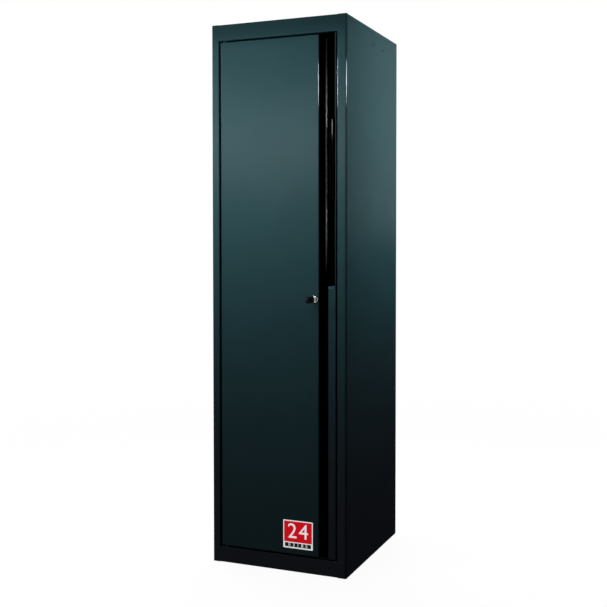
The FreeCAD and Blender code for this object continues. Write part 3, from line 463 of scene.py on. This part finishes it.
# %% [markdown]
# ### Plastics and rubber
# Mouldings are matt, finely textured and a little worn in patches. The grip is matt too, but the
# ridge along its front carries a painted highlight near both ends: a shiny band that the lamps
# catch. A bright edge could be a strip of its own. A mask on the ridge follows the bevel without
# another mesh.

# %% Plastics and rubber
def moulded_finish(name, colour, worn, rough, texture, texture_depth, specular=0.5):
    material, start = new_finish(name)
    place, x, y, z = coordinates(start)
    flecks = grain(start, place, texture, 3.0)
    patch = grain(start, place, 45.0, 3.0)
    tone = blend(start, ramp(start, patch, 0.45, 0.8), colour, worn)
    close_finish(start, base=tone, rough=rough + 0.12 * patch, specular=specular,
                 normal=relief(start, flecks, texture_depth))
    return material


GRIP_CHAMFER = 9.4
RIDGE_LEFT, RIDGE_RIGHT, RIDGE_SOFT = 0.0003, 0.0014, 0.0003
RIDGE_TOP, RIDGE_FOOT = (1.15, 1.21), (1.0160, 1.0175)
RIDGE_HIGHLIGHT_FADE = (1.16, 1.222)


def grip_finish():
    """Matt black, with a painted highlight on the ridge: bright at its top, fainter at its foot."""
    material, start = new_finish("grip_plastic")
    place, x, y, z = coordinates(start)
    flecks = grain(start, place, 900.0, 3.0)
    ridge_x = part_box("grip_handle")[1].x - GRIP_CHAMFER * MM
    # Painted highlight: the ridge turns to shiny metal near its top and its foot.
    ends = ramp(start, z, *RIDGE_TOP) + 1.0 - ramp(start, z, *RIDGE_FOOT)
    painted_highlight = band(start, x, ridge_x - RIDGE_LEFT, ridge_x + RIDGE_RIGHT, RIDGE_SOFT) * ends
    highlight_tone = blend(start, ramp(start, z, *RIDGE_HIGHLIGHT_FADE), (0.012, 0.012, 0.013, 1), grey(0.13))
    tone = blend(start, painted_highlight, (0.0008, 0.0008, 0.0009, 1), highlight_tone)
    close_finish(start, base=tone, metal=painted_highlight * 0.9, rough=0.45 - 0.25 * painted_highlight + 0.1 * flecks,
                 specular=0.0, normal=relief(start, flecks, 0.00002))
    return material


grip_plastic = grip_finish()
black_plastic = moulded_finish("black_plastic", grey(0.0012), grey(0.003), 0.3, 1500.0, 0.00002,
                               specular=0.06)
nylon = moulded_finish("nylon", (0.55, 0.53, 0.48, 1), (0.42, 0.40, 0.35, 1), 0.45, 800.0, 0.00002)
rubber = moulded_finish("rubber", grey(0.012), grey(0.03), 0.75, 1100.0, 0.00006)
print("moulded:", [m.name for m in (grip_plastic, black_plastic, nylon, rubber)])

# %% [markdown]
# ### Giving out the finishes
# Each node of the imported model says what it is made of. That gives most of them a finish without
# a list of names, and a short list names the few that are finished otherwise.

# %% Give every node its finish
FINISH = {"body_paint": body_paint, "grip_plastic": grip_plastic, "black_plastic": black_plastic,
          "chrome": chrome, "zinc_steel": zinc, "rivet_aluminium": aluminium, "nylon": nylon,
          "rubber": rubber, "label_film": nylon}
OTHER_FINISH = {"door_panel": door_paint, "door_stiffener": door_paint,
                "handle_channel": channel_paint, "channel_end_caps": channel_paint,
                "upper_pivot_bush": black_plastic, "lower_pivot_bush": black_plastic,
                "upper_hinge_pin": black_oxide, "lower_hinge_pin": black_oxide}
for name, node in nodes.items():
    slot = node.material_slots[0]
    slot.material = OTHER_FINISH.get(name, FINISH[slot.material.name])
print("finished nodes:", len(nodes))

# %% [markdown]
# ## Pieces with a mesh of their own
# Each starts as a primitive, is shaped in edit mode and rides on the body that carries it. Two
# helpers begin the work: one makes a clean box, one picks parts of its mesh by their place. Both
# take millimetres. Picking by number would break as soon as a step before it changed.

# %% Helpers to start a piece
def nothing_chosen():
    """Object mode, with nothing selected."""
    if bpy.context.mode != "OBJECT":
        bpy.ops.object.mode_set(mode="OBJECT")
    bpy.ops.object.select_all(action="DESELECT")


def start_box(name, low, high):
    """A box between two corners in millimetres, in edit mode with nothing selected."""
    nothing_chosen()
    low, high = Vector(low) * MM, Vector(high) * MM
    bpy.ops.mesh.primitive_cube_add(size=1, location=(low + high) / 2)
    piece = bpy.context.object
    piece.name = piece.data.name = name
    piece.scale = high - low
    bpy.ops.object.transform_apply(location=True, rotation=True, scale=True)
    bpy.ops.object.mode_set(mode="EDIT")
    bpy.ops.mesh.select_all(action="DESELECT")
    return piece


def pick(piece, kind, wanted):
    """Select the faces or edges whose middle in millimetres passes the test."""
    bpy.ops.mesh.select_mode(type=kind)
    bpy.ops.mesh.select_all(action="DESELECT")
    mesh = bmesh.from_edit_mesh(piece.data)
    count = 0
    for part in mesh.edges if kind == "EDGE" else mesh.faces:
        if kind == "EDGE":
            middle = (part.verts[0].co + part.verts[1].co) / 2 / MM
        else:
            middle = part.calc_center_median() / MM
        if wanted(middle, part):
            part.select_set(True)
            count += 1
    mesh.select_flush_mode()
    bmesh.update_edit_mesh(piece.data)
    return count


def same(a, b, gap=0.02):
    return abs(a - b) < gap


# %% [markdown]
# The others end it: the piece handed over to its body with its finish, bevels on the sharp edges,
# corners joined and a tool's shape taken out.

# %% Helpers to end a piece
def finish_piece(piece, body, material, replaces=(), angle=35):
    """Leave edit mode, smooth the gentle edges, and hand the piece to its body."""
    nothing_chosen()
    piece.select_set(True)
    bpy.context.view_layer.objects.active = piece
    for modifier in list(piece.modifiers):
        bpy.ops.object.modifier_apply(modifier=modifier.name)
    bpy.ops.object.shade_smooth_by_angle(angle=radians(angle))
    piece.data.materials.clear()
    piece.data.materials.append(material)
    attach(piece, body)
    if replaces:
        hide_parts(*replaces)
    low, high = [Vector(corner) for corner in (piece.bound_box[0], piece.bound_box[6])]
    print(piece.name, "faces", len(piece.data.polygons), "size mm",
          [round(v / MM, 1) for v in high - low])


def soften(piece, width, segments=3, angle=30):
    """A bevel on every edge sharper than the angle, in millimetres."""
    bevel = piece.modifiers.new("soften", "BEVEL")
    bevel.width = width * MM
    bevel.segments = segments
    bevel.limit_method = "ANGLE"
    bevel.angle_limit = radians(angle)


def weld(piece, gap):
    """Join corners that lie together, in millimetres, and turn the faces outward."""
    nothing_chosen()
    bpy.context.view_layer.objects.active = piece
    bpy.ops.object.mode_set(mode="EDIT")
    bpy.ops.mesh.select_all(action="SELECT")
    bpy.ops.mesh.remove_doubles(threshold=gap * MM)
    bpy.ops.mesh.dissolve_degenerate(threshold=gap * MM)
    bpy.ops.mesh.normals_make_consistent(inside=False)
    bpy.ops.object.mode_set(mode="OBJECT")


def cut(piece, tool):
    """Take the tool's shape out of the piece."""
    nothing_chosen()
    bpy.context.view_layer.objects.active = piece
    modifier = piece.modifiers.new("cut", "BOOLEAN")
    modifier.object = tool
    modifier.operation = "DIFFERENCE"
    modifier.solver = "EXACT"
    bpy.ops.object.modifier_apply(modifier="cut")
    bpy.data.objects.remove(tool)


# %% [markdown]
# ### The corner seams
# Where a rail meets a post, the post's fold leaves a groove. It is filled and ground flush before
# painting. The posts could be modelled anew without it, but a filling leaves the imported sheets
# alone. Each is a thin box whose front is shortened, to follow the rail's own bends.

# %% Corner seams
FOLD = 3.0
SEAM_DEPTH = 1.1
front_mm = FRONT / MM
# How far a rail's own bend has fallen back from the rail's edge at the depth of the seam.
seam_end = FOLD - (FOLD ** 2 - (FOLD - SEAM_DEPTH) ** 2) ** 0.5
for rail in ("top_rail", "bottom_rail"):
    rail_low, rail_high = [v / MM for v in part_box(rail)]
    for side, left in (("left", rail_low.x - FOLD), ("right", rail_high.x)):
        seam = start_box(f"{rail}_{side}_seam", (left, front_mm, rail_low.z + seam_end),
                         (left + FOLD, front_mm + SEAM_DEPTH, rail_high.z - seam_end))
        pick(seam, "FACE", lambda m, f: f.normal.y < -0.9)
        tall = rail_high.z - rail_low.z
        middle = Vector((left + FOLD / 2, front_mm, (rail_low.z + rail_high.z) / 2)) * MM
        bpy.ops.transform.resize(value=(1, 1, (tall - 2 * FOLD) / (tall - 2 * seam_end)),
                                 center_override=middle)
        finish_piece(seam, "cabinet", body_paint, angle=20)

# %% [markdown]
# ### The recess liner
# A black moulding lines the finger recess beside the door and stands in for the shade in it: one
# strip down the left wall and across the back, with a rounded corner whose glossy line is a painted
# highlight. A swept curve could make it. Here a thin box is extruded round the corner and its inner
# corner bevelled, which keeps each size plain.

# %% Recess liner
LINER = 0.8
LINER_CORNER = 8.0
LINER_FRONT, LINER_BACK, LINER_ENDS = 4.5, 50.0, 1.4
LINER_REACH = 43.4
LINER_HIGHLIGHT_HEIGHTS, LINER_HIGHLIGHT_FADE = (0.80, 1.0), (1.25, 1.41)
wall_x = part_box("door_panel")[1].x / MM
channel_low, channel_high = [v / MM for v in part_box("handle_channel")]
liner_back = front_mm + LINER_BACK


def shade_liner_finish():
    """Black as painted shade, with a painted highlight line in the rounded corner."""
    material, start = new_finish("liner_shade_plastic")
    place, x, y, z = coordinates(start)
    flecks = grain(start, place, 700.0, 3.0)
    corner_x, corner_y = (wall_x + LINER) * MM, (liner_back - LINER) * MM
    # Painted highlight: a shiny metal line in the corner above the lip, fading out near the top.
    painted_highlight = (band(start, x, corner_x + 0.0006, corner_x + 0.45 * LINER_CORNER * MM, 0.0002)
                * ramp(start, y - corner_y + LINER_CORNER * MM, 0.0, 0.0008)
                * ramp(start, z, *LINER_HIGHLIGHT_HEIGHTS))
    highlight_tone = blend(start, ramp(start, z, *LINER_HIGHLIGHT_FADE), grey(0.42), grey(0.05))
    tone = blend(start, painted_highlight, SHADE_BLACK, highlight_tone)
    close_finish(start, base=tone, metal=painted_highlight * 0.9, rough=0.22 + 0.1 * flecks, specular=0.0,
                 normal=relief(start, flecks, 0.00001))
    return material


shade_liner = start_box("recess_shade_liner", (wall_x, front_mm + LINER_FRONT, channel_low.z + LINER_ENDS),
                  (wall_x + LINER, liner_back - LINER, channel_high.z - LINER_ENDS))
pick(shade_liner, "FACE", lambda m, f: f.normal.y > 0.9)
bpy.ops.mesh.extrude_region_move(TRANSFORM_OT_translate={"value": (0, LINER * MM, 0)})
pick(shade_liner, "FACE", lambda m, f: f.normal.x > 0.9 and m.y > liner_back - LINER)
bpy.ops.mesh.extrude_region_move(TRANSFORM_OT_translate={"value": (LINER_REACH * MM, 0, 0)})
corner = pick(shade_liner, "EDGE", lambda m, e: same(m.x, wall_x + LINER) and same(m.y, liner_back - LINER)
              and abs(e.verts[0].co.z - e.verts[1].co.z) > 0.5)
bpy.ops.mesh.bevel(offset=LINER_CORNER * MM, segments=8, affect="EDGES")
print("corner edges:", corner)
soften(shade_liner, 0.25, 2)
finish_piece(shade_liner, "door", shade_liner_finish())

# %% [markdown]
# ### The grip
# A moulded bar that closes the recess at hand height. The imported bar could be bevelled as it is,
# but its mesh is loose triangles, so it is modelled anew. A box is the flange that is screwed to
# the wall. Its front is pulled forward and then sideways into the bar, and wide bevels round the
# bar's front, so that the fingers slide in behind it.

# %% Grip
GRIP_FLANGE, GRIP_BAR, GRIP_ROUND = 3.0, 8.6, 8.0
grip_low, grip_high = [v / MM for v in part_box("grip_handle")]
grip = start_box("grip", (grip_high.x - GRIP_FLANGE, front_mm + GRIP_BAR, grip_low.z), grip_high)
pick(grip, "FACE", lambda m, f: f.normal.y < -0.9)
bpy.ops.mesh.extrude_region_move(TRANSFORM_OT_translate={"value": (0, -GRIP_BAR * MM, 0)})
pick(grip, "FACE", lambda m, f: f.normal.x < -0.9 and m.y < front_mm + GRIP_BAR)
reach = grip_high.x - GRIP_FLANGE - grip_low.x
bpy.ops.mesh.extrude_region_move(TRANSFORM_OT_translate={"value": (-reach * MM, 0, 0)})
pick(grip, "EDGE", lambda m, e: same(m.x, grip_high.x - GRIP_FLANGE) and same(m.y, front_mm))
bpy.ops.mesh.dissolve_edges()
pick(grip, "EDGE", lambda m, e: same(m.x, grip_low.x) and same(m.y, front_mm))
bpy.ops.mesh.bevel(offset=GRIP_ROUND * MM, segments=10, profile=0.5, affect="EDGES")
pick(grip, "EDGE", lambda m, e: same(m.x, grip_high.x) and same(m.y, front_mm))
bpy.ops.mesh.bevel(offset=GRIP_CHAMFER * MM, segments=1, affect="EDGES")
weld(grip, 0.05)
soften(grip, 1.4, 4)
finish_piece(grip, "door", grip_plastic, ["grip_handle"])

# %% [markdown]
# ### The key's head
# A flat, rounded paddle that folds over the blade. Both sides are inset and sunk to leave a rim.
# A drawn outline could be given thickness, but a box keeps its faces large and easy to pick. Two
# tools then cut it: a slot for the blade and a hole for the ring.

# %% Key head
PADDLE_ROUND, PADDLE_RIM, PADDLE_STEP, PADDLE_SUNK = 8.2, 2.0, 0.5, 0.6
SLOT_HALF, SLOT_LENGTH = 1.3, 23.0
RING_HOLE, RING_PLACE = 2.6, 6.0
head_low, head_high = [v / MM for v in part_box("key_head")]
head_mid = (head_low + head_high) / 2

key_head = start_box("key_paddle", head_low, head_high)
for end in (head_low.y, head_high.y):
    for side in (head_low.z, head_high.z):
        pick(key_head, "EDGE", lambda m, e: same(m.y, end) and same(m.z, side))
        bpy.ops.mesh.bevel(offset=PADDLE_ROUND * MM, segments=8, affect="EDGES")
pick(key_head, "FACE", lambda m, f: abs(f.normal.x) > 0.9)
bpy.ops.mesh.inset(thickness=PADDLE_RIM * MM, use_individual=True)
bpy.ops.mesh.inset(thickness=PADDLE_STEP * MM, use_individual=True)
bpy.ops.transform.shrink_fatten(value=-PADDLE_SUNK * MM)
slot_tool = start_box("slot_tool", (head_mid.x - SLOT_HALF, head_high.y - SLOT_LENGTH, head_low.z - 1),
                      (head_mid.x + SLOT_HALF, head_high.y + 1, head_high.z + 1))
cut(key_head, slot_tool)
nothing_chosen()
ring_middle = Vector((head_mid.x, head_low.y + RING_PLACE, head_mid.z)) * MM
bpy.ops.mesh.primitive_cylinder_add(vertices=32, radius=RING_HOLE * MM, depth=20 * MM,
                                    location=ring_middle, rotation=(0, pi / 2, 0))
cut(key_head, bpy.context.object)
soften(key_head, 0.3, 2, 40)
finish_piece(key_head, "key_head", black_plastic, ["key_head"])

# %% [markdown]
# ### The number label
# A printed film at the foot of the door: white film, a red field with a plain number, and a black
# bar on the white strip below. A picture on the film could show it all, but thin pieces stay sharp
# at any size. The film and the red ink glow, so that they read at the dim foot.

# %% Inks and films
def film_finish(name, colour, faded, glow):
    """Semi-gloss film, faded in patches. The glow is the strength of its own light."""
    material, start = new_finish(name)
    place, x, y, z = coordinates(start)
    wear = grain(start, place, 60.0, 4.0)
    dots = grain(start, place, 2400.0, 1.0)
    tone = blend(start, ramp(start, wear, 0.45, 0.8), colour, faded)
    close_finish(start, base=tone, rough=0.32 + 0.15 * wear, coat=0.08 + 0.08 * wear,
                 coat_rough=0.15, specular=0.05, normal=relief(start, dots, 0.000004),
                 emission=tone, emitted=glow)
    return material


white_film = film_finish("white_film", grey(0.78), (0.70, 0.70, 0.69, 1), 0.75)
red_ink = film_finish("red_ink", (0.58, 0.0012, 0.0080, 1), (0.52, 0.0020, 0.0080, 1), 0.70)
black_ink = film_finish("black_ink", grey(0.004), grey(0.008), 0.0)
print("films:", white_film.name, red_ink.name, black_ink.name)

# %% [markdown]
# Each printed area is its own thin piece, a hair above the film. Its four short edges, as long as
# the ink is thick, are rounded.

# %% Film and printed areas
LABEL_EDGE = 2.6
LABEL_STRIP = 17.0
LABEL_ROUND = 1.6
INK = 0.06
BAR_END, BAR_FOOT, BAR_TOP = 5.0, 1.0, 2.4
label_low, label_high = [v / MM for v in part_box("number_label")]
wide = label_high.x - label_low.x
tall = label_high.z - label_low.z


def printed(name, left, bottom, right, top, round_off):
    """A flat printed area on the label, measured from the label's lower left corner."""
    made = start_box(name, (label_low.x + left, label_low.y - INK, label_low.z + bottom),
                     (label_low.x + right, label_low.y, label_low.z + top))
    pick(made, "EDGE", lambda m, e: same(abs(e.verts[0].co.y - e.verts[1].co.y) / MM, INK, 0.01))
    bpy.ops.mesh.bevel(offset=round_off * MM, segments=6, affect="EDGES")
    return made


film = start_box("label_film", label_low, label_high)
pick(film, "EDGE", lambda m, e: abs(e.verts[0].co.y - e.verts[1].co.y) > 0.2 * MM)
bpy.ops.mesh.bevel(offset=LABEL_ROUND * MM, segments=5, affect="EDGES")
finish_piece(film, "door", white_film, ["number_label"])
field = printed("label_field", LABEL_EDGE, LABEL_STRIP, wide - LABEL_EDGE, tall - LABEL_EDGE, 1.0)
finish_piece(field, "door", red_ink)
bar = printed("label_bar", BAR_END, LABEL_EDGE + BAR_FOOT, wide - BAR_END, LABEL_STRIP - BAR_TOP, 1.2)
finish_piece(bar, "door", black_ink)

# %% [markdown]
# The digits lie on the red field and on the black bar, in white film. They could be drawn as
# curves, but text gives plain digits at once. It is made a mesh, set upright and laid on the ink.

# %% Digits
def number(name, text, size, middle):
    """Plain digits, made a mesh and then set upright at a height on the label."""
    nothing_chosen()
    bpy.ops.object.text_add()
    words = bpy.context.object.data
    words.body = text
    words.align_x = words.align_y = "CENTER"
    words.size = size * MM
    words.space_character = 1.15
    words.extrude = INK / 2 * MM
    words.resolution_u = 6
    bpy.ops.object.convert(target="MESH")
    digits = bpy.context.object
    digits.name = digits.data.name = name
    digits.rotation_euler = (pi / 2, 0, 0)
    digits.location = Vector((label_low.x + wide / 2, label_low.y - INK * 1.5, middle)) * MM
    bpy.ops.object.transform_apply(location=True, rotation=True, scale=True)
    weld(digits, 0.01)
    finish_piece(digits, "door", white_film)


number("label_number", "24", 58.0, label_low.z + (LABEL_STRIP + tall - LABEL_EDGE) / 2)
number("label_row", "0 3 1 8 5", 13.5, label_low.z + LABEL_STRIP / 2 + 0.6)
